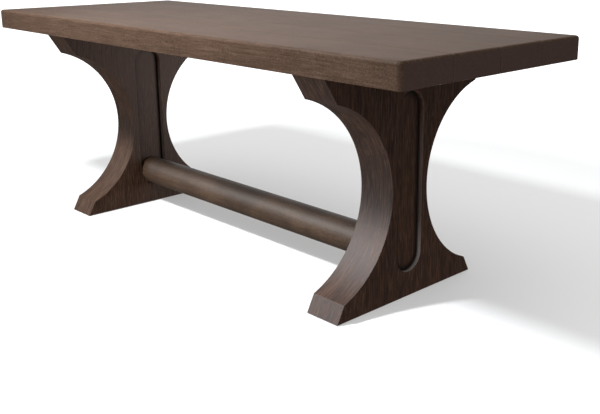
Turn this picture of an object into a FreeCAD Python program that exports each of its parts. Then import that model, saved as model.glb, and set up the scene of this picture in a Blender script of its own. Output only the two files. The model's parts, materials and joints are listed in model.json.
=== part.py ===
"""Trestle table: a four-board top on two waisted pedestals, tied by a round stretcher.

Millimetres. X runs along the table, Y across it (front is -Y), Z is up.
The origin is on the ground under the middle of the top.
"""
import FreeCAD, Part
import os
import re
import Sketcher

SIZES = {
    # Top: boards glued edge to edge along X
    "table_length": 2000,
    "table_width": 742,
    "table_height": 740,
    "top_thickness": 66,
    "board_count": 4,
    "corner_round": 14,
    "edge_round": 9,
    "seam_round": 3.5,
    # Loose splines in the board seams, stopped short of the ends
    "spline_thickness": 12,
    "spline_depth": 20,
    "spline_stop": 100,
    # Pedestals: a post with a horn and a foot on each side, sawn to one outline
    "pedestal_inner": 597,
    "pedestal_thickness": 120,
    "ground_gap": 2,
    "post_half": 90,
    "horn_half": 332.5,
    "horn_shoulder": 595.5,
    "foot_half": 284.5,
    "foot_shoulder": 51.5,
    "scoop_radius": 286,
    "scoop_y": 358,
    "scoop_z": 319.5,
    # Round-ended recess in both faces of each post
    "recess_radius": 50.5,
    "recess_depth": 15,
    "recess_top": 597.5,
    # Stretcher, seated on the floor of the two facing recesses
    "stretcher_radius": 50,
    "stretcher_z": 127,
    # Dowels between the post and its horns and feet
    "dowel_radius": 8,
    "dowel_length": 110,
    "dowel_spread": 25,
    "horn_dowel_low": 568,
    "horn_dowel_high": 640,
    "foot_dowel_low": 30,
    "foot_dowel_high": 92,
    # Steel plate over each pedestal and steel bar across the middle, flush under the top
    "plate_width": 200,
    "plate_length": 560,
    "plate_thickness": 8,
    "bar_width": 50,
    "bar_length": 640,
    "bar_thickness": 6,
    "steel_corner": 10,
    # Radius of a screw's round drive, as a share of its shank's
    "drive_share": 0.6,
    # Countersunk screws up into the boards
    "board_screw_head": 6.5,
    "board_screw_radius": 3,
    "board_screw_length": 50,
    "plate_screw_x": 78,
    "inner_screw_y": 93,
    "outer_screw_y": 240,
    "bar_screw_pitch": 80,
    # Countersunk screws down through the plate into the pedestal
    "coach_screw_head": 10,
    "coach_screw_radius": 5,
    "coach_screw_length": 90,
    "post_screw_y": 50,
    "horn_screw_y": 150,
    "tip_screw_y": 235,
    # Bolted joint at each end of the stretcher
    "bolt_radius": 8,
    "bolt_clearance": 0.5,
    "bolt_length": 160,
    "bolt_hole_depth": 112,
    "bolt_head_height": 10,
    "bolt_head_corner": 13.9,
    "washer_radius": 15,
    "washer_thickness": 3,
    "counterbore_radius": 20,
    "counterbore_depth": 25,
    "plug_thickness": 11,
    "nut_radius": 12.5,
    "nut_length": 60,
    "nut_x": 540,
    "nut_clearance": 0.3,
    "peg_radius": 6,
    "peg_length": 60,
    "peg_spread": 30,
    # Foot pads, let into the feet and standing proud by the ground gap
    "pad_length": 96,
    "pad_width": 80,
    "pad_thickness": 8,
    "pad_corner": 6,
    "pad_y": 226,
    "pad_screw_y": 24,
    "screw_sink": 3,
    "pad_screw_head": 5,
    "pad_screw_radius": 2.5,
    "pad_screw_length": 30,
}

SIDES = {"left": -1, "right": 1}
ENDS = {"front": -1, "rear": 1}
UPSIDE_DOWN = FreeCAD.Rotation(FreeCAD.Vector(1, 0, 0), 180)
ALONG_Y = FreeCAD.Rotation(FreeCAD.Vector(1, 0, 0), 90)
NO_TURN = FreeCAD.Rotation()
CORNER_SIGNS = ((-1, -1), (1, -1), (1, 1), (-1, 1))

# Places of the cross bar's screws, in pitches from its middle: two in each board
BAR_SCREW_STEPS = (-3.5, -2.75, -1.75, -0.5, 0.5, 1.75, 2.75, 3.5)

# Heights and places that several pieces share, worked out from the sheet
UNDERSIDE = "(table_height - top_thickness)"
BOARD_WIDTH = "(table_width / board_count)"
PEDESTAL_X = "(pedestal_inner + pedestal_thickness / 2)"
RECESS_FLOOR_IN = "(pedestal_inner + recess_depth)"
RECESS_FLOOR_OUT = "(pedestal_inner + pedestal_thickness - recess_depth)"
BOLT_SEAT = "(pedestal_inner + pedestal_thickness - recess_depth - counterbore_depth)"
SCOOP_RISE = "sqrt(scoop_radius ^ 2 - (scoop_y - post_half) ^ 2)"

doc = FreeCAD.newDocument("trestle_table")
nodes = []


# ---------------------------------------------------------------- the sheet and its bindings

def make_sheet():
    """One named cell for each driving dimension."""
    sheet = doc.addObject("Spreadsheet::Sheet", "Sizes")
    for row, (name, size) in enumerate(SIZES.items(), start=1):
        sheet.set(f"A{row}", name)
        sheet.set(f"B{row}", str(size))
        sheet.setAlias(f"B{row}", name)
    doc.recompute()
    return sheet


def formula(text):
    """The same expression with each dimension's name pointing at its cell in the sheet."""
    return re.sub(r"[a-z_]+", lambda word: f"Sizes.{word[0]}" if word[0] in SIZES else word[0], str(text))


def value(text):
    """What an expression comes to, as a plain number."""
    return float(sizes.evalExpression(formula(text)))


def bind(thing, **properties):
    """Binds each property to an expression over the sheet."""
    for name, text in properties.items():
        thing.setExpression(name, formula(text))


def put(thing, x="0", y="0", z="0", turn=NO_TURN):
    """Turns a thing and binds the place of its own origin."""
    thing.Placement = FreeCAD.Placement(FreeCAD.Vector(), turn)
    for axis, text in zip("xyz", (x, y, z)):
        thing.setExpression(f"Placement.Base.{axis}", formula(text))
    return thing


def node(thing, name):
    """Marks a finished piece, which is written under this name."""
    thing.Label = name
    nodes.append(thing)
    return thing


# ---------------------------------------------------------------- sketches and features

def sketch_in(body, plane, lift="0"):
    """A sketch on one of the body's own planes, raised along its normal by lift."""
    sketch = body.newObject("Sketcher::SketchObject", f"{body.Name}_sketch")
    support = next(item for item in body.Origin.OriginFeatures if item.Role == plane)
    sketch.AttachmentSupport = [(support, "")]
    sketch.MapMode = "FlatFace"
    sketch.setExpression("AttachmentOffset.Base.z", formula(lift))
    return sketch


def end_at(sketch, edge, point):
    """Which end of an edge, 1 or 2, lies at that point."""
    gaps = [sketch.getPoint(edge, end).distanceToPoint(point) for end in (1, 2)]
    return 1 + gaps.index(min(gaps))


def hold(sketch, edge, end, place):
    """Fixes a point of an edge at the place its two expressions give."""
    for kind, axis_line, text in (("DistanceX", -2, place[0]), ("DistanceY", -1, place[1])):
        if text == "0":
            sketch.addConstraint(Sketcher.Constraint("PointOnObject", edge, end, axis_line))
            continue
        index = sketch.addConstraint(Sketcher.Constraint(kind, -1, 1, edge, end, value(text)))
        sketch.setExpression(f"Constraints[{index}]", formula(text))


def draw_outline(sketch, corners, scoops=()):
    """A closed outline. The edge that starts at a corner listed in scoops is the scoop's arc."""
    points = [FreeCAD.Vector(value(x), value(y), 0) for x, y in corners]
    edges = []
    for number, start in enumerate(points):
        finish = points[(number + 1) % len(points)]
        if number in scoops:
            side = 1 if start.x > 0 else -1
            centre = FreeCAD.Vector(side * value("scoop_y"), value("scoop_z"), 0)
            middle = (start + finish) / 2 - centre
            middle.normalize()
            edge = Part.Arc(start, centre + middle * value("scoop_radius"), finish)
        else:
            edge = Part.LineSegment(start, finish)
        edges.append(sketch.addGeometry(edge))
    for number, edge in enumerate(edges):
        following = (number + 1) % len(edges)
        joint = points[following]
        next_edge = edges[following]
        ends = (edge, end_at(sketch, edge, joint), next_edge, end_at(sketch, next_edge, joint))
        sketch.addConstraint(Sketcher.Constraint("Coincident", *ends))
        hold(sketch, edge, end_at(sketch, edge, points[number]), corners[number])
        if number in scoops:
            index = sketch.addConstraint(Sketcher.Constraint("Radius", edge, value("scoop_radius")))
            sketch.setExpression(f"Constraints[{index}]", formula("scoop_radius"))


def draw_rectangle(sketch, length, width):
    """A rectangle centred on the sketch's origin."""
    corners = [(f"{x} * {length} / 2", f"{y} * {width} / 2") for x, y in CORNER_SIGNS]
    draw_outline(sketch, corners)


def draw_circle(sketch, radius, x="0", y="0"):
    """A circle with its centre and radius bound."""
    centre = FreeCAD.Vector(value(x), value(y), 0)
    edge = sketch.addGeometry(Part.Circle(centre, FreeCAD.Vector(0, 0, 1), value(radius)))
    hold(sketch, edge, 3, (x, y))
    index = sketch.addConstraint(Sketcher.Constraint("Radius", edge, value(radius)))
    sketch.setExpression(f"Constraints[{index}]", formula(radius))


def draw_recess(sketch):
    """An upright slot with two round ends: the lower one is concentric with the stretcher."""
    radius = value("recess_radius")
    low = value("stretcher_z")
    high = value("recess_top") - radius
    corner = [FreeCAD.Vector(x * radius, high if y > 0 else low, 0) for x, y in CORNER_SIGNS]
    bottom = sketch.addGeometry(Part.Arc(corner[0], FreeCAD.Vector(0, low - radius, 0), corner[1]))
    right = sketch.addGeometry(Part.LineSegment(corner[1], corner[2]))
    top = sketch.addGeometry(Part.Arc(corner[2], FreeCAD.Vector(0, high + radius, 0), corner[3]))
    left = sketch.addGeometry(Part.LineSegment(corner[3], corner[0]))
    loop = [bottom, right, top, left]
    for number, edge in enumerate(loop):
        following = loop[(number + 1) % len(loop)]
        joint = corner[(number + 1) % len(loop)]
        ends = (edge, end_at(sketch, edge, joint), following, end_at(sketch, following, joint))
        sketch.addConstraint(Sketcher.Constraint("Tangent", *ends))
    hold(sketch, bottom, 3, ("0", "stretcher_z"))
    hold(sketch, top, 3, ("0", "recess_top - recess_radius"))
    index = sketch.addConstraint(Sketcher.Constraint("Radius", bottom, radius))
    sketch.setExpression(f"Constraints[{index}]", formula("recess_radius"))


def pad(body, sketch, length, both_ways=False):
    """Grows the sketch into a solid, along its normal or half each way."""
    feature = body.newObject("PartDesign::Pad", f"{body.Name}_pad")
    feature.Profile = sketch
    bind(feature, Length=length)
    if both_ways:
        feature.SideType = "Symmetric"
    doc.recompute()
    return feature


def pocket(body, sketch, depth, along_normal=False):
    """Cuts the sketch into the body, against its normal unless told otherwise."""
    before = body.Shape.Volume
    feature = body.newObject("PartDesign::Pocket", f"{body.Name}_pocket")
    feature.Profile = sketch
    feature.Reversed = along_normal
    bind(feature, Length=depth)
    doc.recompute()
    if body.Shape.Volume > before - 1:
        raise RuntimeError(f"a pocket in {body.Name} removes nothing")
    return feature


def round_over(body, radius, chosen):
    """Rounds the edges of the body that the test chooses by their middle point and direction."""
    base = body.Tip
    names = []
    for number, edge in enumerate(body.Shape.Edges, start=1):
        first, last = (vertex.Point for vertex in (edge.Vertexes[0], edge.Vertexes[-1]))
        if chosen((first + last) / 2, last - first):
            names.append(f"Edge{number}")
    feature = body.newObject("PartDesign::Fillet", f"{body.Name}_round")
    feature.Base = (base, names)
    bind(feature, Radius=radius)
    doc.recompute()
    return feature


def slab(name, length, width, thickness, corner=None):
    """A flat piece centred on X and Y, underside at Z = 0, with its upright corners rounded if wanted."""
    body = doc.addObject("PartDesign::Body", name)
    sketch = sketch_in(body, "XY_Plane")
    draw_rectangle(sketch, length, width)
    pad(body, sketch, thickness)
    if corner:
        round_over(body, corner, lambda middle, run: abs(run.z) > max(abs(run.x), abs(run.y)))
    return body


def cylinder(name, radius, height):
    """A plain cylinder standing on its own origin."""
    solid = doc.addObject("Part::Cylinder", name)
    bind(solid, Radius=radius, Height=height)
    return solid


def cut(name, base, *tools):
    """The base with the tools' shapes taken out of it."""
    result = doc.addObject("Part::Cut", name)
    result.Base = base
    result.Tool = tools[0] if len(tools) == 1 else together(f"{name}_tools", tools)
    return result


def together(name, things):
    """Several things held as one compound."""
    result = doc.addObject("Part::Compound", name)
    result.Links = list(things)
    return result


def copies(name, master, places, turn=NO_TURN):
    """Links to one master, each put at its own (x, y, z), held as one compound."""
    links = []
    for number, (x, y, z) in enumerate(places):
        link = doc.addObject("App::Link", f"{name}_{number}")
        link.LinkedObject = master
        links.append(put(link, x, y, z, turn))
    return together(name, links)


def pin_group(name, master, places, turn=NO_TURN):
    """A node of identical pins, which also cut their own holes."""
    return node(copies(f"{name}_set", master, places, turn), name)


def screw_group(name, kind, places, turn=NO_TURN):
    """A node of identical screws. Returns the shape of their holes."""
    node(copies(f"{name}_set", screws[kind], places, turn), name)
    return copies(f"{name}_holes", drills[kind], places, turn)


# ---------------------------------------------------------------- fasteners

def turned(name, corners):
    """A body turned about Z from half of its section."""
    body = doc.addObject("PartDesign::Body", name)
    sketch = sketch_in(body, "XZ_Plane")
    draw_outline(sketch, corners)
    feature = body.newObject("PartDesign::Revolution", f"{name}_turned")
    feature.Profile = sketch
    feature.ReferenceAxis = (sketch, ["V_Axis"])
    feature.Angle = 360
    return body


def countersunk(kind):
    """A screw hanging from the flat of its head at Z = 0, with a round drive, and the hole it needs."""
    head, shank, length = (f"{kind}_{part}" for part in ("head", "radius", "length"))
    neck = f"-({head} - {shank})"
    drive = f"{shank} * drive_share"
    below_neck = [
        (shank, neck),
        (shank, f"2 * {shank} - {length}"),
        (f"{shank} / 4", f"-{length}"),
        ("0", f"-{length}"),
    ]
    screw = turned(f"{kind}_master", [("0", neck), (drive, neck), (drive, "0"), (head, "0"), *below_neck])
    drill = turned(f"{kind}_drill", [("0", "screw_sink"), (head, "screw_sink"), (head, "0"), *below_neck])
    return screw, drill


def hexagon_bolt(name):
    """A hexagon bolt: the shank runs down from Z = 0 and the head stands above it."""
    head = doc.addObject("Part::Prism", f"{name}_head")
    head.Polygon = 6
    bind(head, Circumradius="bolt_head_corner", Height="bolt_head_height")
    shank = cylinder(f"{name}_shank", "bolt_radius", "bolt_length")
    put(shank, z="-bolt_length")
    bolt = doc.addObject("Part::Fuse", name)
    bolt.Base = head
    bolt.Tool = shank
    return bolt


# ---------------------------------------------------------------- under the top

def plate_screws(side, sign):
    """The screws that come up through a plate's flanges, four for each flange."""
    places = []
    for flange in (-1, 1):
        for y in ("-outer_screw_y", "-inner_screw_y", "inner_screw_y", "outer_screw_y"):
            places.append((f"{sign} * {PEDESTAL_X} + {flange} * plate_screw_x", y, UNDERSIDE))
    return screw_group(f"plate_screws_{side}", "board_screw", places, UPSIDE_DOWN)


def coach_screws(side, sign):
    """The screws that go down through a plate: two into the post and two into each horn."""
    places = []
    for end in (-1, 1):
        for y in ("post_screw_y", "horn_screw_y", "tip_screw_y"):
            places.append((f"{sign} * {PEDESTAL_X}", f"{end} * {y}", f"{UNDERSIDE} + plate_thickness"))
    return screw_group(f"coach_screws_{side}", "coach_screw", places)


def top_plate(side, sign):
    """A steel plate over a pedestal: its flanges countersunk from below, its middle from above."""
    blank = slab(f"plate_{side}", "plate_width", "plate_length", "plate_thickness", "steel_corner")
    put(blank, x=f"{sign} * {PEDESTAL_X}", z=UNDERSIDE)
    board_holes = plate_screws(side, sign)
    pedestal_holes = coach_screws(side, sign)
    node(cut(f"plate_{side}_drilled", blank, board_holes, pedestal_holes), f"top_plate_{side}")
    return [blank, board_holes], pedestal_holes


def cross_bar():
    """The steel bar that keeps the middle of the top flat, with two screws in each board."""
    blank = slab("bar", "bar_width", "bar_length", "bar_thickness", "steel_corner")
    put(blank, z=UNDERSIDE)
    places = [("0", f"{step} * bar_screw_pitch", UNDERSIDE) for step in BAR_SCREW_STEPS]
    holes = screw_group("bar_screws", "board_screw", places, UPSIDE_DOWN)
    node(cut("bar_drilled", blank, holes), "cross_bar")
    return [blank, holes]


# ---------------------------------------------------------------- the top

def spline(number):
    """A loose tongue in the seam above board number, half in each board."""
    tongue = doc.addObject("Part::Box", f"tongue_{number}")
    bind(tongue, Length="table_length - 2 * spline_stop")
    bind(tongue, Width="2 * spline_depth", Height="spline_thickness")
    put(
        tongue,
        x="spline_stop - table_length / 2",
        y=f"({number} - board_count / 2) * {BOARD_WIDTH} - spline_depth",
        z="table_height - top_thickness / 2 - spline_thickness / 2",
    )
    return node(tongue, f"seam_spline_{number}")


def top_board(number, name, let_in):
    """One board of the top: free corners turned, upper edges well rounded and seam edges eased."""
    count = int(value("board_count"))
    blank = slab(f"board_{number}", "table_length", BOARD_WIDTH, "top_thickness")
    half_length = value("table_length") / 2
    half_width = value(BOARD_WIDTH) / 2
    upper = value("top_thickness")
    free_sides = {side for side, last in ((-1, number == 1), (1, number == count)) if last}
    seam_sides = {-1, 1} - free_sides

    def on_side(middle, sides):
        return any(abs(middle.y - side * half_width) < 1 for side in sides)

    def is_free_corner(middle, run):
        return abs(run.z) > 1 and on_side(middle, free_sides)

    def is_upper_edge(middle, run):
        at_end = abs(abs(middle.x) - half_length) < 1
        return abs(middle.z - upper) < 1 and (at_end or on_side(middle, free_sides))

    def is_seam_edge(middle, run):
        return abs(middle.z - upper) < 1 and abs(run.x) > 1 and on_side(middle, seam_sides)

    if free_sides:
        round_over(blank, "corner_round", is_free_corner)
    round_over(blank, "edge_round", is_upper_edge)
    round_over(blank, "seam_round", is_seam_edge)
    put(blank, y=f"({number} - (board_count + 1) / 2) * {BOARD_WIDTH}", z=UNDERSIDE)
    return node(cut(f"board_{number}_worked", blank, *let_in), name)


# ---------------------------------------------------------------- the pedestals

def dowel_places(side_sign, end_sign):
    """Centres of the four dowels' outer ends between the post and one end's horn and foot."""
    places = []
    for z in ("horn_dowel_low", "horn_dowel_high", "foot_dowel_low", "foot_dowel_high"):
        for spread in (-1, 1):
            x = f"{side_sign} * {PEDESTAL_X} + {spread} * dowel_spread"
            places.append((x, f"{end_sign} * post_half + dowel_length / 2", z))
    return places


def post(side, sign, fastenings):
    """The middle of a pedestal, waisted by the scoops, with a recess in each face and the bolt's seat."""
    body = doc.addObject("PartDesign::Body", f"post_{side}_blank")
    profile = sketch_in(body, "YZ_Plane")
    draw_outline(
        profile,
        [
            ("-post_half", "ground_gap"),
            ("post_half", "ground_gap"),
            ("post_half", f"scoop_z - {SCOOP_RISE}"),
            ("post_half", f"scoop_z + {SCOOP_RISE}"),
            ("post_half", UNDERSIDE),
            ("-post_half", UNDERSIDE),
            ("-post_half", f"scoop_z + {SCOOP_RISE}"),
            ("-post_half", f"scoop_z - {SCOOP_RISE}"),
        ],
        scoops=(2, 6),
    )
    pad(body, profile, "pedestal_thickness", both_ways=True)
    for facing in (-1, 1):
        recess = sketch_in(body, "YZ_Plane", f"{facing} * pedestal_thickness / 2")
        draw_recess(recess)
        pocket(body, recess, "recess_depth", along_normal=facing < 0)
    seat = sketch_in(body, "YZ_Plane", "pedestal_thickness / 2 - recess_depth")
    draw_circle(seat, "counterbore_radius", y="stretcher_z")
    pocket(body, seat, "counterbore_depth")
    hole = sketch_in(body, "YZ_Plane", "pedestal_thickness / 2 - recess_depth - counterbore_depth")
    draw_circle(hole, "bolt_radius + bolt_clearance", y="stretcher_z")
    pocket(body, hole, "pedestal_thickness")
    put(body, x=f"{sign} * {PEDESTAL_X}", turn=outward(sign))
    return node(cut(f"post_{side}_worked", body, *fastenings), f"post_{side}")


def wing(kind, side, end, corners, fastenings):
    """A horn or a foot: the same blank for all four, turned to its own corner of the table."""
    body = doc.addObject("PartDesign::Body", f"{kind}_{end}_{side}_blank")
    profile = sketch_in(body, "YZ_Plane")
    draw_outline(profile, corners, scoops=(len(corners) - 1,))
    pad(body, profile, "pedestal_thickness", both_ways=True)
    put(body, x=f"{SIDES[side]} * {PEDESTAL_X}", turn=FreeCAD.Rotation(90 - 90 * ENDS[end], 0, 0))
    return node(cut(f"{kind}_{end}_{side}_worked", body, *fastenings), f"{kind}_{end}_{side}")


def horn(side, end, fastenings):
    """The wing under the top, from the scoop's upper end out to the tip under the boards."""
    corners = [
        ("post_half", f"scoop_z + {SCOOP_RISE}"),
        ("post_half", UNDERSIDE),
        ("horn_half", UNDERSIDE),
        ("scoop_y - sqrt(scoop_radius ^ 2 - (horn_shoulder - scoop_z) ^ 2)", "horn_shoulder"),
    ]
    return wing("horn", side, end, corners, fastenings)


def foot(side, end, fastenings):
    """The wing on the ground, from the scoop's lower end out to the toe."""
    corners = [
        ("post_half", f"scoop_z - {SCOOP_RISE}"),
        ("post_half", "ground_gap"),
        ("foot_half", "ground_gap"),
        ("scoop_y - sqrt(scoop_radius ^ 2 - (scoop_z - foot_shoulder) ^ 2)", "foot_shoulder"),
    ]
    return wing("foot", side, end, corners, fastenings)


def foot_pad(side, end):
    """A pad under one foot, with two sunk screws. Returns the pad's blank and the screws' holes."""
    x = f"{SIDES[side]} * {PEDESTAL_X}"
    y = f"{ENDS[end]} * pad_y"
    blank = slab(f"pad_{end}_{side}", "pad_length", "pad_width", "pad_thickness", "pad_corner")
    put(blank, x=x, y=y)
    places = [(x, f"{y} + {step} * pad_screw_y", "screw_sink") for step in (-1, 1)]
    holes = screw_group(f"pad_screws_{end}_{side}", "pad_screw", places, UPSIDE_DOWN)
    node(cut(f"pad_{end}_{side}_drilled", blank, holes), f"foot_pad_{end}_{side}")
    return [blank, holes]


def pedestal(side, sign, plate_holes, pegs):
    """Post, horns, feet, their dowels and the foot pads."""
    pads = {end: foot_pad(side, end) for end in ENDS}
    places = [place for end_sign in ENDS.values() for place in dowel_places(sign, end_sign)]
    dowels = pin_group(f"wing_dowels_{side}", dowel_master, places, ALONG_Y)
    post(side, sign, [dowels, plate_holes, pegs])
    for end in ENDS:
        horn(side, end, [dowels, plate_holes])
        foot(side, end, [dowels, *pads[end]])


# ---------------------------------------------------------------- the stretcher and its joints

def outward(sign):
    """Turns a thing built for the right pedestal to face out of the left one."""
    return FreeCAD.Rotation(90 - 90 * sign, 0, 0)


def out_along_x(sign):
    """Turns a thing built along Z to point out of that end of the table."""
    return FreeCAD.Rotation(FreeCAD.Vector(0, 1, 0), 90 * sign)


def stretcher_joint(side, sign):
    """The bolt, washer, nut, plug and pegs at one end. Returns the pegs and what the bar is drilled for."""
    turn = out_along_x(sign)
    bolt = hexagon_bolt(f"bolt_{side}")
    put(bolt, x=f"{sign} * ({BOLT_SEAT} + washer_thickness)", z="stretcher_z", turn=turn)
    node(bolt, f"stretcher_bolt_{side}")

    disc = cylinder(f"washer_disc_{side}", "washer_radius", "washer_thickness")
    eye = cylinder(f"washer_eye_{side}", "bolt_radius + bolt_clearance", "washer_thickness")
    washer = cut(f"washer_{side}", disc, eye)
    put(washer, x=f"{sign} * {BOLT_SEAT}", z="stretcher_z", turn=turn)
    node(washer, f"bolt_washer_{side}")

    plug = cylinder(f"plug_{side}", "counterbore_radius", "plug_thickness")
    put(plug, x=f"{sign} * ({RECESS_FLOOR_OUT} - plug_thickness)", z="stretcher_z", turn=turn)
    node(plug, f"bolt_plug_{side}")

    nut_blank = cylinder(f"nut_{side}", "nut_radius", "nut_length")
    put(nut_blank, x=f"{sign} * nut_x", z="stretcher_z - nut_length / 2")
    node(cut(f"nut_{side}_tapped", nut_blank, bolt), f"barrel_nut_{side}")

    heights = ("stretcher_z - peg_spread", "stretcher_z + peg_spread")
    places = [(f"{sign} * {RECESS_FLOOR_IN} - {sign} * peg_length / 2", "0", z) for z in heights]
    pegs = pin_group(f"stretcher_pegs_{side}", peg_master, places, turn)

    bolt_hole = cylinder(f"bolt_hole_{side}", "bolt_radius + bolt_clearance", "bolt_length")
    put(bolt_hole, x=f"{sign} * ({RECESS_FLOOR_IN} - bolt_hole_depth)", z="stretcher_z", turn=turn)
    nut_hole_radius = "nut_radius + nut_clearance"
    nut_hole = cylinder(f"nut_hole_{side}", nut_hole_radius, "stretcher_radius + nut_length / 2")
    put(nut_hole, x=f"{sign} * nut_x", z="stretcher_z - stretcher_radius")
    return pegs, [bolt_hole, nut_hole, pegs]


def stretcher(holes):
    """The round bar between the pedestals, drilled from below for its two barrel nuts."""
    body = doc.addObject("PartDesign::Body", "bar_round")
    section = sketch_in(body, "YZ_Plane")
    draw_circle(section, "stretcher_radius")
    pad(body, section, f"2 * {RECESS_FLOOR_IN}", both_ways=True)
    put(body, z="stretcher_z")
    return node(cut("bar_round_drilled", body, *holes), "stretcher")


# ---------------------------------------------------------------- the table

def check_and_write():
    """Stops on any failed object or bad shape, then writes each piece to its own file."""
    doc.recompute()
    for thing in doc.Objects:
        if {"Invalid", "Error"} & set(thing.State):
            raise RuntimeError(f"{thing.Name} failed: {thing.State}")
    for thing in nodes:
        if thing.Shape.isNull() or not thing.Shape.isValid() or not thing.Shape.Solids:
            raise RuntimeError(f"{thing.Label} has a bad shape")
    os.makedirs("parts", exist_ok=True)
    for thing in nodes:
        thing.Shape.exportStep(f"parts/{thing.Label}.step")
        print(f"{thing.Label}: {len(thing.Shape.Solids)} solid(s), {thing.Shape.Volume / 1000:.1f} cm3")
    box = together("whole", nodes)
    doc.recompute()
    print("whole table:", box.Shape.BoundBox)


sizes = make_sheet()
screws, drills = {}, {}
for screw_kind in ("board_screw", "coach_screw", "pad_screw"):
    screws[screw_kind], drills[screw_kind] = countersunk(screw_kind)
dowel_master = cylinder("dowel_master", "dowel_radius", "dowel_length")
peg_master = cylinder("peg_master", "peg_radius", "peg_length")

let_into_top = cross_bar()
plate_holes_of = {}
for side_name, side_sign in SIDES.items():
    in_boards, plate_holes_of[side_name] = top_plate(side_name, side_sign)
    let_into_top += in_boards
let_into_top += [spline(number) for number in range(1, int(value("board_count")))]
for board_number, board_place in enumerate(("front", "front_middle", "rear_middle", "rear"), start=1):
    top_board(board_number, f"top_board_{board_place}", let_into_top)

stretcher_holes = []
for side_name, side_sign in SIDES.items():
    peg_group, holes_here = stretcher_joint(side_name, side_sign)
    stretcher_holes += holes_here
    pedestal(side_name, side_sign, plate_holes_of[side_name], peg_group)
stretcher(stretcher_holes)

check_and_write()
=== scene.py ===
"""The visible model of the trestle table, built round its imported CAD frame.

Metres. X runs along the table, Y across it (the front is -Y), Z is up.
"""
import bmesh
import bpy
import json
import math
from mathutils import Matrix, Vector

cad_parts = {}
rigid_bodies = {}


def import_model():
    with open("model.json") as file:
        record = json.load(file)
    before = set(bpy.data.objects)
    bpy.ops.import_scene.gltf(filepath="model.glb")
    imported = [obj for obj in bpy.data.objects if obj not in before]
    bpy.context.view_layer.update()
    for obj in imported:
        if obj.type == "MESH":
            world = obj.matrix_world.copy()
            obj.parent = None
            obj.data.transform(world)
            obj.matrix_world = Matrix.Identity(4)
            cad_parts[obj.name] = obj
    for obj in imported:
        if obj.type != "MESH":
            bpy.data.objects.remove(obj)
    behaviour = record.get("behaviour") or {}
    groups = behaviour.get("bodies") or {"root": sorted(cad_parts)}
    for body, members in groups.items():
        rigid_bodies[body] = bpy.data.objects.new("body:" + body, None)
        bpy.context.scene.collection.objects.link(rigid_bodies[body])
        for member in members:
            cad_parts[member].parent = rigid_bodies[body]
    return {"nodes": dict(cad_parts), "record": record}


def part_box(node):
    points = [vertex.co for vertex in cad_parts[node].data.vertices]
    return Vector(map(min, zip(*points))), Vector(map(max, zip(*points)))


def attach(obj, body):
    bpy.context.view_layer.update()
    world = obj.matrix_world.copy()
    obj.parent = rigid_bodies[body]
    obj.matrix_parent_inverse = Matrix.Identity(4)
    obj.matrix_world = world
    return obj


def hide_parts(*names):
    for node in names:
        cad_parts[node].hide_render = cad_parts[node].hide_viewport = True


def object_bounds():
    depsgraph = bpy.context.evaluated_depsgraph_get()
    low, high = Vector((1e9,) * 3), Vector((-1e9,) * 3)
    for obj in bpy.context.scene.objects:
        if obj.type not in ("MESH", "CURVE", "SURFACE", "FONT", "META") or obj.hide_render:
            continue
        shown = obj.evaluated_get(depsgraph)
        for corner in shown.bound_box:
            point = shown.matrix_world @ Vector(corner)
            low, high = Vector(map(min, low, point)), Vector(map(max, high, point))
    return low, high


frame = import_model()
cad_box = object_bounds()

SIDES = {"left": -1, "right": 1}
ENDS = {"front": -1, "rear": 1}
BODY = "root"

# Shapes that a node's box doesn't give
SCOOP_RADIUS = 0.286
HORN_SHOULDER = 0.5955
FOOT_SHOULDER = 0.0515
RECESS_RADIUS = 0.0505
RECESS_DEPTH = 0.015
RECESS_TOP = 0.5975
PLUG_RADIUS = 0.020
BOARD_CORNER = 0.014
BOARD_ROUND = 0.009
SEAM_ROUND = 0.0035
UNDER_EASE = 0.0008
STEEL_CORNER = 0.010
NUT_HOLE_RADIUS = 0.0128

# How sharp edges are eased, and how finely curves are cut
EDGE_EASE = 0.0012
RIM_EASE = 0.0030
FLOOR_EASE = 0.0008
PLUG_EASE = 0.0006
BAR_EASE = 0.0020
HAIRLINE = 0.0002
EASE_STEPS = 4
BOARD_STEPS = 8
SEAM_STEPS = 4
UNDER_STEPS = 2
SCOOP_STEPS = 28
RECESS_STEPS = 32
PLUG_STEPS = 64
NUT_HOLE_STEPS = 48
STEEL_CORNER_STEPS = 8
BAR_STEPS = 96
BAR_LENGTHS = 48
BAR_END_SHARES = (0.6, 0.3, 0)
SMOOTH_ANGLE = math.radians(35)
TOUCHING = 1e-6


# ---------------------------------------------------------------- mesh helpers

def finish_mesh(node, bm, material, glue=()):
    """Turns a bmesh into a piece that rides on the body and stands for its CAD node.

    It is smooth over eased edges and curves, and sharp round its glue faces.
    """
    bmesh.ops.recalc_face_normals(bm, faces=bm.faces)
    for face in bm.faces:
        face.smooth = True
    for edge in bm.edges:
        edge.smooth = edge not in glue and edge.calc_face_angle(0) < SMOOTH_ANGLE
    piece = linked_object(f"{node}_timber", bm)
    weighted = piece.modifiers.new("flat faces", "WEIGHTED_NORMAL")
    weighted.keep_sharp = True
    piece.data.materials.append(material)
    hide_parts(node)
    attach(piece, BODY)
    return piece


def linked_object(name, bm):
    """An object in the scene made from a bmesh, which is used up."""
    mesh = bpy.data.meshes.new(name)
    bm.to_mesh(mesh)
    bm.free()
    thing = bpy.data.objects.new(name, mesh)
    bpy.context.scene.collection.objects.link(thing)
    return thing


def slot_of(node):
    """The record's material slot of a node."""
    return next(part["material_slot"] for part in frame["record"]["subparts"] if part["node"] == node)


def arc(centre, radius, start, finish, steps, closed=False):
    """Points along an arc between two angles. The last is left out unless closed is set."""
    turns = [start + (finish - start) * step / steps for step in range(steps + closed)]
    return [(centre[0] + radius * math.cos(turn), centre[1] + radius * math.sin(turn)) for turn in turns]


def circle(centre, radius, steps):
    """Points round a full circle."""
    return arc(centre, radius, 0, 2 * math.pi, steps)


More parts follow.
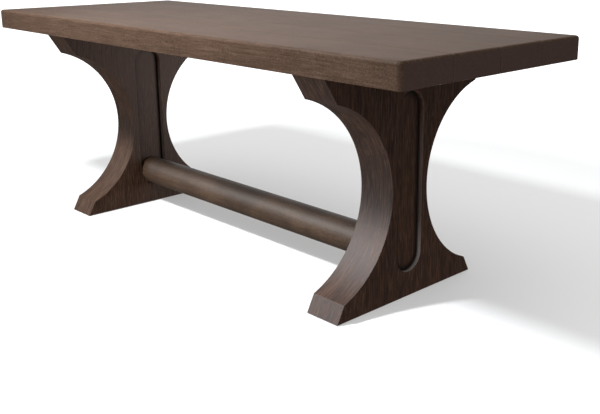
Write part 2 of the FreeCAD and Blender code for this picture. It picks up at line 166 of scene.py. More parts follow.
def inset(outline, eased, distance):
    """The outline with each eased edge moved in by a distance.

    eased[i] is for the edge from point i to the next.
    """
    count = len(outline)
    moved = []
    for i in range(count):
        before = Vector(outline[i]) - Vector(outline[i - 1])
        after = Vector(outline[(i + 1) % count]) - Vector(outline[i])
        before.normalize()
        after.normalize()
        in_before = Vector((-before.y, before.x)) * (distance if eased[i - 1] else 0)
        in_after = Vector((-after.y, after.x)) * (distance if eased[i] else 0)
        cross = before.x * after.y - before.y * after.x
        if abs(cross) < 1e-3:
            moved.append(tuple(Vector(outline[i]) + (in_before + in_after) / 2))
            continue
        gap = in_after - in_before
        along = (gap.x * after.y - gap.y * after.x) / cross
        moved.append(tuple(Vector(outline[i]) + in_before + before * along))
    return moved


def ring(bm, points, place):
    """A loop of vertices, each 2-D point put in space by place."""
    return [bm.verts.new(place(point)) for point in points]


def bridge(bm, loops):
    """Quads between each loop and the next. All have the same number of points."""
    for first, second in zip(loops, loops[1:]):
        for i in range(len(first)):
            j = (i + 1) % len(first)
            bm.faces.new((first[i], first[j], second[j], second[i]))


def capped(bm, loops):
    """Quads between the loops, and a face at each end."""
    bridge(bm, loops)
    bm.faces.new(loops[0])
    bm.faces.new(loops[-1])


def fill_between(bm, outer, inner):
    """The flat face between a loop and one hole."""
    edges = []
    for loop in (outer, inner):
        for i in range(len(loop)):
            j = (i + 1) % len(loop)
            edges.append(bm.edges.get((loop[i], loop[j])) or bm.edges.new((loop[i], loop[j])))
    bmesh.ops.triangle_fill(bm, use_beauty=True, use_dissolve=False, edges=edges)


def quarter_round(steps):
    """(share of the ease inwards, share of the ease below the face) from the side to the face."""
    turns = [math.pi / 2 * step / steps for step in range(steps + 1)]
    return [(1 - math.cos(turn), 1 - math.sin(turn)) for turn in turns]


def cut_away(piece, cutters):
    """Takes the cutters out of the piece for good and removes them."""
    for cutter in cutters:
        boolean = piece.modifiers.new("cut", "BOOLEAN")
        boolean.operation = "DIFFERENCE"
        boolean.solver = "EXACT"
        boolean.object = cutter
        piece.modifiers.move(len(piece.modifiers) - 1, 0)
    weighted = piece.modifiers["flat faces"]
    weighted.show_viewport = False
    shown = piece.evaluated_get(bpy.context.evaluated_depsgraph_get())
    mesh = bpy.data.meshes.new_from_object(shown)
    weighted.show_viewport = True
    for boolean in [modifier for modifier in piece.modifiers if modifier.type == "BOOLEAN"]:
        piece.modifiers.remove(boolean)
    mesh.materials.clear()
    mesh.materials.append(piece.data.materials[0])
    piece.data = mesh
    mesh.set_sharp_from_angle(angle=SMOOTH_ANGLE)
    for cutter in cutters:
        bpy.data.objects.remove(cutter)


def cutter_prism(name, outline, low_z, high_z):
    """An upright prism used only to cut with."""
    bm = bmesh.new()
    capped(bm, [ring(bm, outline, lambda point, z=z: (*point, z)) for z in (low_z, high_z)])
    bmesh.ops.recalc_face_normals(bm, faces=bm.faces)
    return linked_object(name, bm)


# ---------------------------------------------------------------- the top

def board(node, neighbours, material):
    """One board: free corners turned, upper edges well rounded, seams eased, housed for the steel below."""
    low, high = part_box(node)
    bm = bmesh.new()
    bmesh.ops.create_cube(bm, size=1)
    for vert in bm.verts:
        vert.co = Vector(low[i] + (vert.co[i] + 0.5) * (high[i] - low[i]) for i in range(3))
    free_sides = [side for side in (-1, 1) if side not in neighbours]

    def side_of(middle):
        """-1 or 1 on the board's long sides, 0 elsewhere."""
        return -1 if abs(middle.y - low.y) < TOUCHING else 1 if abs(middle.y - high.y) < TOUCHING else 0

    def middle_of(edge):
        return (edge.verts[0].co + edge.verts[1].co) / 2

    def bevel(edges, offset, segments):
        bmesh.ops.bevel(bm, geom=edges, offset=offset, segments=segments, profile=0.5, affect="EDGES")

    def runs_up(edge):
        return abs(edge.verts[0].co.z - edge.verts[1].co.z) > 1e-3

    def outer_edges(height):
        """Level edges at a height, but for the ones on a seam."""
        return [edge for edge in bm.edges if abs(middle_of(edge).z - height) < TOUCHING
                and not runs_up(edge) and side_of(middle_of(edge)) not in neighbours]

    corners = [edge for edge in bm.edges if runs_up(edge) and side_of(middle_of(edge)) in free_sides]
    if corners:
        bevel(corners, BOARD_CORNER, BOARD_STEPS)
    bevel(outer_edges(high.z), BOARD_ROUND, BOARD_STEPS)
    side_faces = [face for face in bm.faces if abs(face.normal.y) > 0.999]
    seam_faces = [face for face in side_faces if side_of(face.calc_center_median()) in neighbours]
    seam_edges = dict.fromkeys(edge for face in seam_faces for edge in face.edges)
    bevel([edge for edge in seam_edges if middle_of(edge).z > low.z + TOUCHING], SEAM_ROUND, SEAM_STEPS)
    bevel(outer_edges(low.z), UNDER_EASE, UNDER_STEPS)
    piece = finish_mesh(node, bm, material)
    cut_away(piece, [steel_housing(steel) for steel in ("top_plate_left", "top_plate_right", "cross_bar")])


def steel_housing(node):
    """The shape of a flat steel piece, a hairline larger all round, as a cutter."""
    low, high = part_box(node)
    middle = (low + high) / 2
    reach = (high - low) / 2
    outline = []
    for x, y, start in ((1, 1, 0), (-1, 1, 90), (-1, -1, 180), (1, -1, 270)):
        centre = (middle.x + x * (reach.x - STEEL_CORNER), middle.y + y * (reach.y - STEEL_CORNER))
        turn = math.radians(start)
        radius = STEEL_CORNER + HAIRLINE
        outline += arc(centre, radius, turn, turn + math.pi / 2, STEEL_CORNER_STEPS, closed=True)
    return cutter_prism(f"housing_{node}", outline, low.z - SEAM_ROUND, high.z + HAIRLINE)


# ---------------------------------------------------------------- the pedestals

def scoop(side):
    """Centre and half-angle of the scoop in a pedestal's outline, from where it crosses the glue lines."""
    horn_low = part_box(f"horn_rear_{side}")[0]
    foot_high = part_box(f"foot_rear_{side}")[1]
    rise = (horn_low.z - foot_high.z) / 2
    reach = math.sqrt(SCOOP_RADIUS ** 2 - rise ** 2)
    centre = (horn_low.y + reach, (horn_low.z + foot_high.z) / 2)
    return centre, math.atan2(rise, reach)


def shoulder_turn(centre, height):
    """The angle round the scoop's centre at which its arc reaches a height, on the side facing the post."""
    return math.pi - math.asin((height - centre[1]) / SCOOP_RADIUS)


def thick_slab(outline, eased, low_x, high_x, sinks=None):
    """A slab across X with its eased edges rounded, and the edges of its glue faces.

    sinks may hold a function for either face, -1 or 1, that sinks a recess in it.
    """
    bm = bmesh.new()
    loops = []
    for face in (-1, 1):
        steps = quarter_round(EASE_STEPS)
        for inwards, below in steps if face > 0 else reversed(steps):
            x = high_x - below * EDGE_EASE if face > 0 else low_x + below * EDGE_EASE
            points = inset(outline, eased, inwards * EDGE_EASE)
            loops.append(ring(bm, points, lambda point, x=x: (x, *point)))
    bridge(bm, loops)
    for face, x, rim in ((-1, low_x, loops[0]), (1, high_x, loops[-1])):
        if sinks:
            fill_between(bm, rim, sinks[face](bm, x, -face))
        else:
            bm.faces.new(rim)
    corners = [i for i in range(len(outline)) if not (eased[i] and eased[i - 1])]
    pairs = list(zip(loops, loops[1:]))
    glue = {bm.edges.get((first[i], second[i])) for first, second in pairs for i in corners}
    return bm, glue


def recess_outline(radius, low, high):
    """An upright slot with round ends, counter-clockwise, as (y, z) points."""
    over = arc((0, high), radius, 0, math.pi, RECESS_STEPS, closed=True)
    under = arc((0, low), radius, math.pi, 2 * math.pi, RECESS_STEPS, closed=True)
    return over + under


def recess(bm, x, inwards, low, high, plug=None):
    """Walls and floor of a recess sunk from the face at x. Returns its rim loop in that face.

    plug is how far the hole for a plug goes, as a place along X.
    """
    loops = []
    for out, down in reversed(quarter_round(EASE_STEPS)):
        radius = RECESS_RADIUS + RIM_EASE * out
        depth = x + inwards * RIM_EASE * down
        loops.append(ring(bm, recess_outline(radius, low, high), lambda point, d=depth: (d, *point)))
    for out, down in quarter_round(EASE_STEPS):
        radius = RECESS_RADIUS - FLOOR_EASE * out
        depth = x + inwards * (RECESS_DEPTH - FLOOR_EASE * down)
        loops.append(ring(bm, recess_outline(radius, low, high), lambda point, d=depth: (d, *point)))
    bridge(bm, loops)
    if plug is None:
        bm.faces.new(loops[-1])
        return loops[0]
    hole = circle((0, low), PLUG_RADIUS + HAIRLINE, PLUG_STEPS)
    mouth = ring(bm, hole, lambda point: (x + inwards * RECESS_DEPTH, *point))
    seat = ring(bm, hole, lambda point: (plug, *point))
    fill_between(bm, loops[-1], mouth)
    bridge(bm, (mouth, seat))
    bm.faces.new(seat)
    return loops[0]


def post(side, material):
    """The waisted post with a recess in each face. The stretcher fills one and a plug sits in the other."""
    node = f"post_{side}"
    low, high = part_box(node)
    stretcher_low, stretcher_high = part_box("stretcher")
    axis_z = (stretcher_low.z + stretcher_high.z) / 2
    centre, half_turn = scoop(side)
    waist = arc(centre, SCOOP_RADIUS, math.pi + half_turn, math.pi - half_turn, SCOOP_STEPS, closed=True)
    rear = [(high.y, low.z), *waist, (high.y, high.z)]
    front = [(-y, z) for y, z in reversed(rear)]
    outline = rear + front
    glued = {0, len(waist), len(rear), len(rear) + len(waist)}
    eased = [i not in glued for i in range(len(outline))]

    plug_low, plug_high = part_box(f"bolt_plug_{side}")
    plug_back = plug_low.x if SIDES[side] > 0 else plug_high.x
    slot_top = RECESS_TOP - RECESS_RADIUS

    def plain(bm, x, inwards):
        return recess(bm, x, inwards, axis_z, slot_top)

    def plugged(bm, x, inwards):
        return recess(bm, x, inwards, axis_z, slot_top, plug_back)

    sinks = {SIDES[side]: plugged, -SIDES[side]: plain}
    bm, glue = thick_slab(outline, eased, low.x, high.x, sinks)
    finish_mesh(node, bm, material, glue)


def wing(node, corners, end, material):
    """A horn or foot from its outline, which is given for the rear and mirrored for the front.

    The outline's first edge is the glue line.
    """
    low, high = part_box(node)
    outline = counter_clockwise(corners)
    count = len(outline)
    glued = 0
    if ENDS[end] < 0:
        outline = [(-y, z) for y, z in reversed(outline)]
        glued = count - 2
    eased = [i != glued for i in range(count)]
    bm, glue = thick_slab(outline, eased, low.x, high.x)
    finish_mesh(node, bm, material, glue)


def horn(side, end, material):
    """The wing under the top."""
    low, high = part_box(f"horn_rear_{side}")
    centre, half_turn = scoop(side)
    shoulder = shoulder_turn(centre, HORN_SHOULDER)
    curve = arc(centre, SCOOP_RADIUS, shoulder, math.pi - half_turn, SCOOP_STEPS)
    corners = [(low.y, low.z), (low.y, high.z), (high.y, high.z), *curve]
    wing(f"horn_{end}_{side}", corners, end, material)


def foot(side, end, material):
    """The wing on the ground."""
    low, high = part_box(f"foot_rear_{side}")
    centre, half_turn = scoop(side)
    shoulder = shoulder_turn(centre, FOOT_SHOULDER)
    curve = arc(centre, SCOOP_RADIUS, shoulder, math.pi + half_turn, SCOOP_STEPS)
    corners = [(low.y, high.z), (low.y, low.z), (high.y, low.z), *curve]
    wing(f"foot_{end}_{side}", corners, end, material)


def counter_clockwise(corners):
    """The outline turned counter-clockwise, still with the same first edge."""
    area = sum(a[0] * b[1] - b[0] * a[1] for a, b in zip(corners, corners[1:] + corners[:1]))
    return corners if area > 0 else [corners[1], corners[0], *reversed(corners[2:])]


def plug(side, material):
    """The round cover over the bolt head, flush with the recess floor."""
    node = f"bolt_plug_{side}"
    low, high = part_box(node)
    middle = (low + high) / 2
    outside = high.x if SIDES[side] > 0 else low.x
    inside = low.x if SIDES[side] > 0 else high.x
    profile = [(inside, PLUG_RADIUS)]
    profile += [(outside - SIDES[side] * PLUG_EASE * below, PLUG_RADIUS - PLUG_EASE * inwards)
                for inwards, below in quarter_round(EASE_STEPS)]
    finish_mesh(node, turned(profile, middle, PLUG_STEPS), material)


def turned(profile, middle, steps):
    """A closed shape turned round a line along X. The profile holds (x, radius) pairs."""
    bm = bmesh.new()
    centre = (middle.y, middle.z)
    loops = []
    for x, radius in profile:
        loops.append(ring(bm, circle(centre, radius, steps), lambda point, x=x: (x, *point)))
    capped(bm, loops)
    return bm


# ---------------------------------------------------------------- the stretcher

def stretcher(material):
    """The turned bar, eased at its ends and bored from below for the barrel nuts."""
    low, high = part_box("stretcher")
    middle = (low + high) / 2
    radius = (high.z - low.z) / 2
    end = [(low.x, radius - BAR_EASE)]
    for inwards in BAR_END_SHARES:
        below = 1 - math.sqrt(1 - (1 - inwards) ** 2)
        end.append((low.x + BAR_EASE * below, radius - BAR_EASE * inwards))
    other_end = [(low.x + high.x - x, r) for x, r in reversed(end)]
    inner_low, inner_high = low.x + BAR_EASE, high.x - BAR_EASE
    span = [(inner_low + (inner_high - inner_low) * i / BAR_LENGTHS, radius) for i in range(1, BAR_LENGTHS)]
    piece = finish_mesh("stretcher", turned(end + span + other_end, middle, BAR_STEPS), material)
    cut_away(piece, [nut_hole(side, low.z) for side in SIDES])


def nut_hole(side, under):
    """The blind hole below a barrel nut, as a cutter."""
    low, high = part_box(f"barrel_nut_{side}")
    middle = (low + high) / 2
    outline = circle((middle.x, middle.y), NUT_HOLE_RADIUS, NUT_HOLE_STEPS)
    return cutter_prism(f"nut_hole_{side}", outline, under - 0.01, high.z + HAIRLINE)


# ---------------------------------------------------------------- materials

class Graph:
    """The nodes of a material or world, made and joined in one call each."""

    def __init__(self, owner):
        owner.use_nodes = True
        self.owner = owner
        self.nodes = owner.node_tree.nodes
        self.links = owner.node_tree.links
        self.nodes.clear()

    def feed(self, socket, given):
        """Gives an input socket a plain value or another node's output socket."""
        if isinstance(given, bpy.types.NodeSocket):
            self.links.new(given, socket)
        else:
            socket.default_value = given

    def add(self, kind, inputs=None, **settings):
        """A node with its properties set and its inputs fed."""
        node = self.nodes.new(kind)
        for name, setting in settings.items():
            setattr(node, name, setting)
        for name, given in (inputs or {}).items():
            self.feed(node.inputs[name], given)
        return node

    def noise(self, vector, scale, detail=4.0, roughness=0.55, distortion=0.0):
        """Fractal noise between 0 and 1."""
        inputs = {"Vector": vector, "Scale": scale, "Detail": detail}
        inputs.update({"Roughness": roughness, "Distortion": distortion})
        return self.add("ShaderNodeTexNoise", inputs).outputs["Fac"]

    def remap(self, value, low, high, to_low=0.0, to_high=1.0):
        """Stretches a range of a value onto another, clamped."""
        inputs = {"Value": value, "From Min": low, "From Max": high, "To Min": to_low, "To Max": to_high}
        return self.add("ShaderNodeMapRange", inputs).outputs["Result"]

    def math(self, operation, *operands):
        """One arithmetic step."""
        return self.add("ShaderNodeMath", dict(enumerate(operands)), operation=operation).outputs[0]

    def close_to(self, value, target, tolerance):
        """1 where a value is within the tolerance of the target, 0 elsewhere."""
        return self.math("COMPARE", value, target, tolerance)

    def vector_math(self, operation, *operands, output="Vector"):
        """One step of vector arithmetic."""
        node = self.add("ShaderNodeVectorMath", dict(enumerate(operands)), operation=operation)
        return node.outputs[output]

    def length(self, first, second):
        """The length of a vector of two parts."""
        vector = self.add("ShaderNodeCombineXYZ", {"X": first, "Y": second}).outputs["Vector"]
        return self.vector_math("LENGTH", vector, output="Value")

    def mapping(self, vector, **settings):
        """A vector scaled, then moved. The settings are Scale and Location."""
        return self.add("ShaderNodeMapping", {"Vector": vector, **settings}).outputs["Vector"]

    def mix(self, kind, share, first, second):
        """Two colours (kind RGBA) or two vectors (kind VECTOR) mixed."""
        node = self.add("ShaderNodeMix", data_type=kind)
        part = {"RGBA": "Color", "VECTOR": "Vector"}[kind]
        for name, given in (("Factor_Float", share), (f"A_{part}", first), (f"B_{part}", second)):
            self.feed(next(item for item in node.inputs if item.identifier == name), given)
        return next(item for item in node.outputs if item.identifier == f"Result_{part}")

    def ramp(self, value, stops):
        """A colour ramp through (position, colour) stops."""
        node = self.add("ShaderNodeValToRGB", {"Fac": value})
        elements = node.color_ramp.elements
        for index, (position, colour) in enumerate(stops):
            element = elements[index] if index < 2 else elements.new(position)
            element.position = position
            element.color = (*colour, 1)
        return node.outputs["Color"]

    def surface(self, inputs, height=None, depth=0.0002):
        """The shader and output, with an optional bump."""
        if height is not None:
            bump = self.add("ShaderNodeBump", {"Height": height, "Distance": depth})
            inputs["Normal"] = bump.outputs["Normal"]
        shader = self.add("ShaderNodeBsdfPrincipled", inputs)
        self.add("ShaderNodeOutputMaterial", {"Surface": shader.outputs["BSDF"]})
        return self.owner


# Each kind of figure: how it is drawn out along the grain, then its noise's scale, detail,
# roughness and distortion
FIGURE = {
    "bands": (0.05, 26.0, 3.0, 0.5, 0.4),
    "fibre": (0.05, 230.0, 4.0, 0.6, 0.2),
    "threads": (0.035, 520.0, 3.0, 0.6, 0.0),
    "speck": (1.0, 240.0, 3.0, 0.7, 0.0),
    "patch": (1.0, 7.0, 3.0, 0.5, 0.0),
    "flecks": (0.05, 430.0, 2.0, 0.5, 0.0),
}
TONE_STOPS = (0.38, 0.50, 0.62)
FLECK_RANGE = (0.57, 0.70)
TIMBER_ROUGHNESS = (0.50, 0.62)
GRAIN_DEPTH = 0.0003
WANDER = 0.02


def grain_place(g, offset):
    """Object coordinates, and the same shifted and wandering so that the grain isn't ruler-straight."""
    place = g.add("ShaderNodeTexCoord").outputs["Object"]
    return place, wandering(g, g.mapping(place, Location=offset))


def wandering(g, vector):
    """The coordinates pushed about by a slow noise."""
    wander = g.add("ShaderNodeTexNoise", {"Vector": vector, "Scale": 2.2, "Detail": 2.0}).outputs["Color"]
    pull = g.vector_math("SUBTRACT", wander, (0.5, 0.5, 0.5))
    scaled = g.add("ShaderNodeVectorMath", {0: pull, "Scale": WANDER}, operation="SCALE").outputs["Vector"]
    return g.vector_math("ADD", vector, scaled)


def timber(g, vector, grain, tones, weights, sheen, marks=()):
    """Fine-grained stained timber. grain is the axis it runs along.

    tones go from dark to light and end with the flecks' colour. weights say how much each kind of
    figure counts. marks are pairs of a mask and the tone of the places it covers; they carry painted light
    and shade, and the end grain's own tone.
    """
    figure = {}
    for kind, (drawn_out, *shape) in FIGURE.items():
        scale = [drawn_out if axis == grain else 1.0 for axis in "XYZ"]
        figure[kind] = g.noise(g.mapping(vector, Scale=scale), *shape)

    def weighed(kind, weight):
        return g.math("MULTIPLY", figure[kind], weight)

    tone = 0.5
    for kind in ("bands", "fibre", "threads", "speck", "patch"):
        swing = g.math("MULTIPLY", g.math("SUBTRACT", figure[kind], 0.5), weights[kind])
        tone = g.math("ADD", swing, tone)
    dark, middle, light, fleck = tones
    colour = g.ramp(tone, [(TONE_STOPS[0], dark), (TONE_STOPS[2], light), (TONE_STOPS[1], middle)])
    flecks = g.remap(figure["flecks"], *FLECK_RANGE)
    colour = g.mix("RGBA", g.math("MULTIPLY", flecks, weights["flecks"]), colour, (*fleck, 1))
    # Painted light and shade, and the end grain's tone, laid over the timber's colour
    for mask, mark in marks:
        colour = g.mix("RGBA", mask, colour, (*mark, 1))
    blotch = g.math("ADD", weighed("fibre", 0.6), weighed("speck", 0.4))
    roughness = g.remap(blotch, 0.3, 0.7, *TIMBER_ROUGHNESS)
    height = g.math("ADD", weighed("fibre", 0.5), weighed("threads", 0.35))
    height = g.math("SUBTRACT", height, g.math("MULTIPLY", flecks, 0.3))
    inputs = {"Base Color": colour, "Roughness": roughness, "Specular IOR Level": sheen}
    return g.surface(inputs, height, GRAIN_DEPTH)


def plain_timber(name, tones, offset, weights):
    """Timber whose grain runs straight along X."""
    g = Graph(bpy.data.materials.new(name))
    return timber(g, grain_place(g, offset)[1], "X", tones, weights, 0.2)


def board_timber(name, offset):
    """A top board's timber, with a painted light along the seam edges, and end grain of its own tone that
    also carries a painted sheen.
    """
    g = Graph(bpy.data.materials.new(name))
    place, vector = grain_place(g, offset)
    low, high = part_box("top_board_front_middle")
    axes = g.add("ShaderNodeSeparateXYZ", {0: place}).outputs
    along, across = g.math("ABSOLUTE", axes["X"]), g.math("ABSOLUTE", axes["Y"])
    side_seam = g.math("ABSOLUTE", g.math("SUBTRACT", across, high.y - low.y))
    from_seam = g.math("MINIMUM", across, side_seam)
    # Painted light along the seam edges, lightening the groove where it would lie in shade; it stops short
    # of the board's ends
    seam_light = g.remap(from_seam, SEAM_ROUND, 0.5 * SEAM_ROUND, 0.0, SEAM_PAINTED_LIGHT)
    seam_light = g.math("MULTIPLY", seam_light, g.remap(along, high.x - 0.004, high.x - 0.006))
    # The end grain's tone: partly its own, partly a painted sheen that makes the end faces lighter and
    # greyer
    ends = g.remap(along, high.x - 0.0010, high.x - 0.0002, 0.0, END_GRAIN_AND_SHEEN)
    marks = ((seam_light, SEAM_LIGHT_TONE), (ends, END_GRAIN_AND_SHEEN_TONE))
    return timber(g, vector, "X", TOP_TONES, TOP_FIGURE, TOP_SHEEN, marks)


def pedestal_timber(side):
    """Timber with upright grain, which follows the scoop and the slants, with a painted highlight on the
    recess sides and painted shade in the recess's floor corners.
    """
    g = Graph(bpy.data.materials.new(f"pedestal timber {side}"))
    place, straight = grain_place(g, (0.0, 0.0, 0.0))
    axes = g.add("ShaderNodeSeparateXYZ", {0: place}).outputs
    across = g.math("ABSOLUTE", axes["Y"])
    low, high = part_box("post_right")
    half = (high.x - low.x) / 2
    along = g.math("SUBTRACT", g.math("ABSOLUTE", axes["X"]), (low.x + high.x) / 2)
    from_core = g.math("ABSOLUTE", along)

    (centre_y, centre_z), _ = scoop("left")
    to_post = g.math("SUBTRACT", centre_y, across)
    rise = g.math("SUBTRACT", axes["Z"], centre_z)
    reach = g.length(to_post, rise)
    round_scoop = g.math("MULTIPLY", g.math("ARCTAN2", rise, to_post), SCOOP_RADIUS)
    parts = {"X": axes["X"], "Y": reach, "Z": round_scoop}
    curved = wandering(g, g.add("ShaderNodeCombineXYZ", parts).outputs["Vector"])

    scoop_end = centre_y - math.sqrt(SCOOP_RADIUS ** 2 - (FOOT_SHOULDER - centre_z) ** 2)
    past_scoop = g.math("GREATER_THAN", across, scoop_end)
    inside = g.math("LESS_THAN", from_core, half - EDGE_EASE)
    slanted = g.mapping(straight, Scale=(1.0, SLANT_SQUEEZE, 1.0))
    vector = g.mix("VECTOR", g.math("MULTIPLY", past_scoop, inside), straight, slanted)
    vector = g.mix("VECTOR", g.close_to(reach, SCOOP_RADIUS, SCOOP_BAND), vector, curved)

    from_floor = g.math("SUBTRACT", from_core, half - RECESS_DEPTH)
    # Painted highlight on the recess sides and painted shade round the recess floor
    marks = recess_light_and_shade(g, across, axes["Z"], from_floor)
    return timber(g, vector, "Z", PEDESTAL_TONES_LIT_PER_SIDE[side], PEDESTAL_FIGURE, PEDESTAL_SHEEN[side], marks)


def recess_light_and_shade(g, across, height, from_floor):
    """Painted light and shade in the recess: a painted highlight on its sides, strongest low down, and
    painted shade in the corner round its floor.
    """
    stretcher_low, stretcher_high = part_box("stretcher")
    limits = {"Min": (stretcher_low.z + stretcher_high.z) / 2, "Max": RECESS_TOP - RECESS_RADIUS}
    upright = g.add("ShaderNodeClamp", {"Value": height, **limits}).outputs["Result"]
    # Painted shade: near black in the corner round the recess floor, fading over a few millimetres
    from_spine = g.length(across, g.math("SUBTRACT", height, upright))
    from_wall = g.math("MULTIPLY", g.math("SUBTRACT", RECESS_RADIUS, from_spine), CORNER_SHADE_SPREAD[0])
    up_wall = g.math("MULTIPLY", from_floor, CORNER_SHADE_SPREAD[1])
    corner = g.remap(g.length(from_wall, up_wall), *CORNER_SHADE_FADE)
    # Painted highlight: the recess sides are made a light grey, strongest low down and fading out at the
    # top
    wall_light_fade = g.math("MULTIPLY", g.remap(height, *WALL_LIGHT_FADE), g.remap(height, *WALL_LIGHT_TOP_FADE))
    painted_wall_light = g.math("MULTIPLY", g.close_to(from_spine, RECESS_RADIUS, WALL_LIGHT_BAND), wall_light_fade)
    return (painted_wall_light, WALL_LIGHT_TONE), (corner, CORNER_SHADE_TONE)


def steel(name, colour, metallic, roughness, bump):
    """Powder-coated or plated steel with a fine orange peel and faint handling marks."""
    g = Graph(bpy.data.materials.new(name))
    place = g.add("ShaderNodeTexCoord").outputs["Object"]
    peel = g.noise(place, 900.0, 3.0, 0.5)
    smear = g.noise(place, 30.0, 4.0, 0.6)
    tint = g.ramp(smear, [(0.3, [part * 0.8 for part in colour]), (0.7, colour)])
    rough = g.remap(smear, 0.3, 0.7, roughness - 0.08, roughness + 0.1)
    return g.surface({"Base Color": tint, "Roughness": rough, "Metallic": metallic}, peel, bump)


def polymer(name):
    """Moulded black polyamide with a fine spark-eroded texture."""
    g = Graph(bpy.data.materials.new(name))
    place = g.add("ShaderNodeTexCoord").outputs["Object"]
    texture = g.noise(place, 1500.0, 3.0, 0.6)
    scuff = g.noise(place, 40.0, 4.0, 0.6)
    tint = g.ramp(scuff, [(0.35, (0.012, 0.012, 0.013)), (0.7, (0.028, 0.028, 0.03))])
    rough = g.remap(scuff, 0.3, 0.7, 0.5, 0.7)
    return g.surface({"Base Color": tint, "Roughness": rough}, texture, 0.0002)


# Dark, middle and light tones, and the flecks' tone
TOP_TONES = (
    (0.0390, 0.0228, 0.0148),
    (0.0660, 0.0400, 0.0268),
    (0.101, 0.063, 0.045),
    (0.035, 0.021, 0.0136),
)
# The two pedestals are one timber; each side's tones are shifted to the light that falls on that pedestal,
# a painted light and shade
PEDESTAL_TONES_LIT_PER_SIDE = {
    "left": (
        (0.0245, 0.0106, 0.0054),
        (0.047, 0.0226, 0.0126),
        (0.081, 0.0425, 0.0255),
        (0.126, 0.070, 0.0445),
    ),
    "right": (
        (0.023, 0.0090, 0.0047),
        (0.046, 0.0200, 0.0112),
        (0.082, 0.039, 0.0225),
        (0.131, 0.067, 0.041),
    ),
}
BAR_TONES = (
    (0.039, 0.0205, 0.0112),
    (0.069, 0.0390, 0.0220),
    (0.108, 0.064, 0.039),
    (0.036, 0.020, 0.0115),
)
BEECH_TONES = ((0.36, 0.22, 0.11), (0.46, 0.30, 0.16), (0.55, 0.38, 0.22), (0.28, 0.16, 0.08))
TOP_SHEEN = 0.06
PEDESTAL_SHEEN = {"left": 0.12, "right": 0.25}
TOP_FIGURE = {
    "bands": 0.12, "fibre": 0.30, "threads": 0.20, "speck": 0.45, "patch": 0.12, "flecks": 0.35,
}
PEDESTAL_FIGURE = {
    "bands": 0.14, "fibre": 0.62, "threads": 0.45, "speck": 0.10, "patch": 0.10, "flecks": 0.8,
}
BAR_FIGURE = {
    "bands": 0.20, "fibre": 0.25, "threads": 0.20, "speck": 0.40, "patch": 0.40, "flecks": 0.35,
}
# A painted light along the seam edges of the top boards
SEAM_LIGHT_TONE = (0.110, 0.072, 0.052)
SEAM_PAINTED_LIGHT = 0.5
# The end grain's own tone, made lighter and greyer by a painted sheen
END_GRAIN_AND_SHEEN_TONE = (0.078, 0.050, 0.046)
END_GRAIN_AND_SHEEN = 0.6
# A painted highlight on the recess sides
WALL_LIGHT_TONE = (0.28, 0.245, 0.225)
# Painted shade in the corner round the recess floor
CORNER_SHADE_TONE = (0.0025, 0.0010, 0.0007)
CORNER_SHADE_SPREAD = (0.15, 0.5)
SLANT_SQUEEZE = 0.08

# Metres from and to, then the mask's strength at each where it isn't 0 and 1
CORNER_SHADE_FADE = (0.0030, 0.0006, 0.0, 0.9)
WALL_LIGHT_FADE = (0.11, 0.22, 0.95, 0.20)
WALL_LIGHT_TOP_FADE = (0.56, 0.45)

# How near a curved face counts as on it
SCOOP_BAND = 0.003
WALL_LIGHT_BAND = 0.0006


# ---------------------------------------------------------------- building the table

board_names = ("front", "front_middle", "rear_middle", "rear")
for number, name in enumerate(board_names):
    beside = [step for step in (-1, 1) if 0 <= number + step < len(board_names)]
    shift = (0.37 * number, 1.7 * number, 0.61 * number)
    board(f"top_board_{name}", beside, board_timber(f"top timber {name}", shift))

for side_name in SIDES:
    upright_timber = pedestal_timber(side_name)
    post(side_name, upright_timber)
    plug(side_name, upright_timber)
    for end_name in ENDS:
        horn(side_name, end_name, upright_timber)
        foot(side_name, end_name, upright_timber)

stretcher(plain_timber("stretcher timber", BAR_TONES, (0.4, 0.2, 0.9), BAR_FIGURE))

carried_materials = {
    "joint_timber": plain_timber("joint timber", BEECH_TONES, (0.1, 0.3, 0.5), BAR_FIGURE),
    "flat_steel": steel("powder coat", (0.022, 0.022, 0.024), 0.0, 0.45, 0.0002),
    "fastener_steel": steel("zinc plate", (0.55, 0.56, 0.58), 1.0, 0.32, 0.00005),
    "pad_polymer": polymer("pad polymer"),
}
for node_name, cad in frame["nodes"].items():
    finish = carried_materials.get(slot_of(node_name))
    if finish:
        cad.data.materials.clear()
        cad.data.materials.append(finish)


# ---------------------------------------------------------------- floor, light and camera

FLOOR_HALF = 60.0
LIT_RADIUS = (1.7, 3.1)
FLOOR_GLOW = (0.32, 1.0)
STUDIO_LEVEL = 0.10
SEEN_LEVEL = 1.3

# Each source's direction, how narrow it is and how bright
SOFT_SOURCES = (
    ((0.20, -0.75, -0.65), 4.0, 2.15),
    ((0.05, -0.20, 0.98), 3.0, 1.75),
    ((-0.70, 0.50, 0.50), 2.0, 0.40),
    ((0.10, -0.20, -0.97), 1.0, 0.15),
    ((0.90, -0.20, 0.20), 2.0, 0.30),
)
LAMP_COLOUR = (0.94, 0.97, 1.0)
COOL_COLOUR = (0.86, 0.95, 1.0)
WARM_COLOUR = (1.0, 0.86, 0.82)


def floor_material():
    """White paper floor. Far from the table, where the lamp is weak, it glows enough to stay white."""
    g = Graph(bpy.data.materials.new("floor paper"))
    axes = g.add("ShaderNodeSeparateXYZ", {0: g.add("ShaderNodeTexCoord").outputs["Object"]}).outputs
    glow = g.remap(g.length(axes["X"], axes["Y"]), *LIT_RADIUS, *FLOOR_GLOW)
    inputs = {
        "Base Color": (0.6, 0.6, 0.6, 1),
        "Roughness": 0.9,
        "Specular IOR Level": 0.0,
        "Emission Color": (1, 1, 1, 1),
        "Emission Strength": glow,
    }
    return g.surface(inputs)


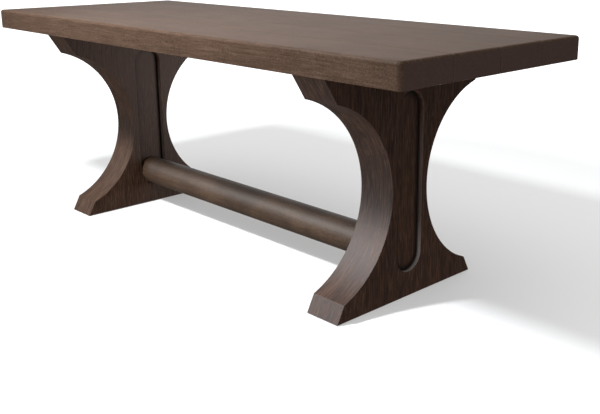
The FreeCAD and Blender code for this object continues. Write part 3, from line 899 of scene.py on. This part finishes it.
def make_floor():
    """A wide flat floor at the table's underside."""
    mesh = bpy.data.meshes.new("floor")
    signs = ((-1, -1), (1, -1), (1, 1), (-1, 1))
    corners = [(x * FLOOR_HALF, y * FLOOR_HALF, cad_box[0].z) for x, y in signs]
    mesh.from_pydata(corners, [], [(0, 1, 2, 3)])
    floor = bpy.data.objects.new("floor", mesh)
    mesh.materials.append(floor_material())
    bpy.context.scene.collection.objects.link(floor)
    floor.visible_diffuse = False
    floor.visible_glossy = False


def make_lamp(name, place, target, size, power, colour=LAMP_COLOUR, sheen_only=False):
    """A round soft lamp aimed at a point. A sheen lamp shows only in glossy surfaces."""
    lamp = bpy.data.lights.new(name, "AREA")
    lamp.shape = "DISK"
    lamp.size = size
    lamp.energy = power
    lamp.color = colour
    thing = bpy.data.objects.new(name, lamp)
    thing.location = place
    thing.rotation_euler = (Vector(target) - Vector(place)).to_track_quat("-Z", "Y").to_euler()
    thing.visible_camera = False
    thing.visible_diffuse = not sheen_only
    bpy.context.scene.collection.objects.link(thing)
    return thing


def make_world():
    """A dim studio with broad soft sources that fall off with the angle, white to the camera."""
    world = bpy.data.worlds.new("studio")
    bpy.context.scene.world = world
    g = Graph(world)
    place = g.add("ShaderNodeTexCoord").outputs["Generated"]
    total = STUDIO_LEVEL
    for direction, focus, level in SOFT_SOURCES:
        towards = g.vector_math("DOT_PRODUCT", place, Vector(direction).normalized(), output="Value")
        lobe = g.math("POWER", g.math("MAXIMUM", towards, 0.0), focus)
        total = g.math("ADD", g.math("MULTIPLY", lobe, level), total)
    seen = g.add("ShaderNodeLightPath").outputs["Is Camera Ray"]
    strength = g.math("MULTIPLY_ADD", seen, SEEN_LEVEL, total)
    background = g.add("ShaderNodeBackground", {"Strength": strength}).outputs["Background"]
    g.add("ShaderNodeOutputWorld", {"Surface": background})


def make_camera():
    """A camera before the right front corner, a little above the top, looking slightly down."""
    camera = bpy.data.cameras.new("camera")
    camera.sensor_width = 36
    camera.lens = 50.99
    camera.shift_x = -0.0776
    camera.shift_y = -0.0687
    thing = bpy.data.objects.new("camera", camera)
    thing.location = (2.1971, -1.7286, 0.9896)
    thing.rotation_euler = (math.radians(90 - 14.85), 0, math.radians(45.04))
    bpy.context.scene.collection.objects.link(thing)
    bpy.context.scene.camera = thing


def light_only(lamp, *beginnings):
    """Limits a lamp to the pieces whose names start in one of these ways."""
    lit = bpy.data.collections.new(f"lit by {lamp.name}")
    for piece in bpy.context.scene.objects:
        if piece.type == "MESH" and piece.name.startswith(beginnings):
            lit.objects.link(piece)
    lamp.light_linking.receiver_collection = lit


make_floor()
make_world()
make_lamp("key", (-0.272, -1.332, 2.10), (0, 0, 0.3), 0.24, 85)
front_sheen = make_lamp("front sheen", (-1.02, -1.57, 1.28), (0.65, -0.2, 0.2), 1.3, 111, COOL_COLOUR, True)
light_only(front_sheen, "post_", "horn_", "foot_", "stretcher")
make_lamp("rear sheen", (0.35, 0.75, 0.30), (-0.6, 0.0, 0.35), 0.7, 18, WARM_COLOUR, True)
make_lamp("top sheen", (-1.60, 1.80, 1.25), (0.2, 0.0, 0.74), 3.2, 25, LAMP_COLOUR, True)
make_camera()
bpy.context.scene.view_settings.view_transform = "Standard"
bpy.context.view_layer.update()
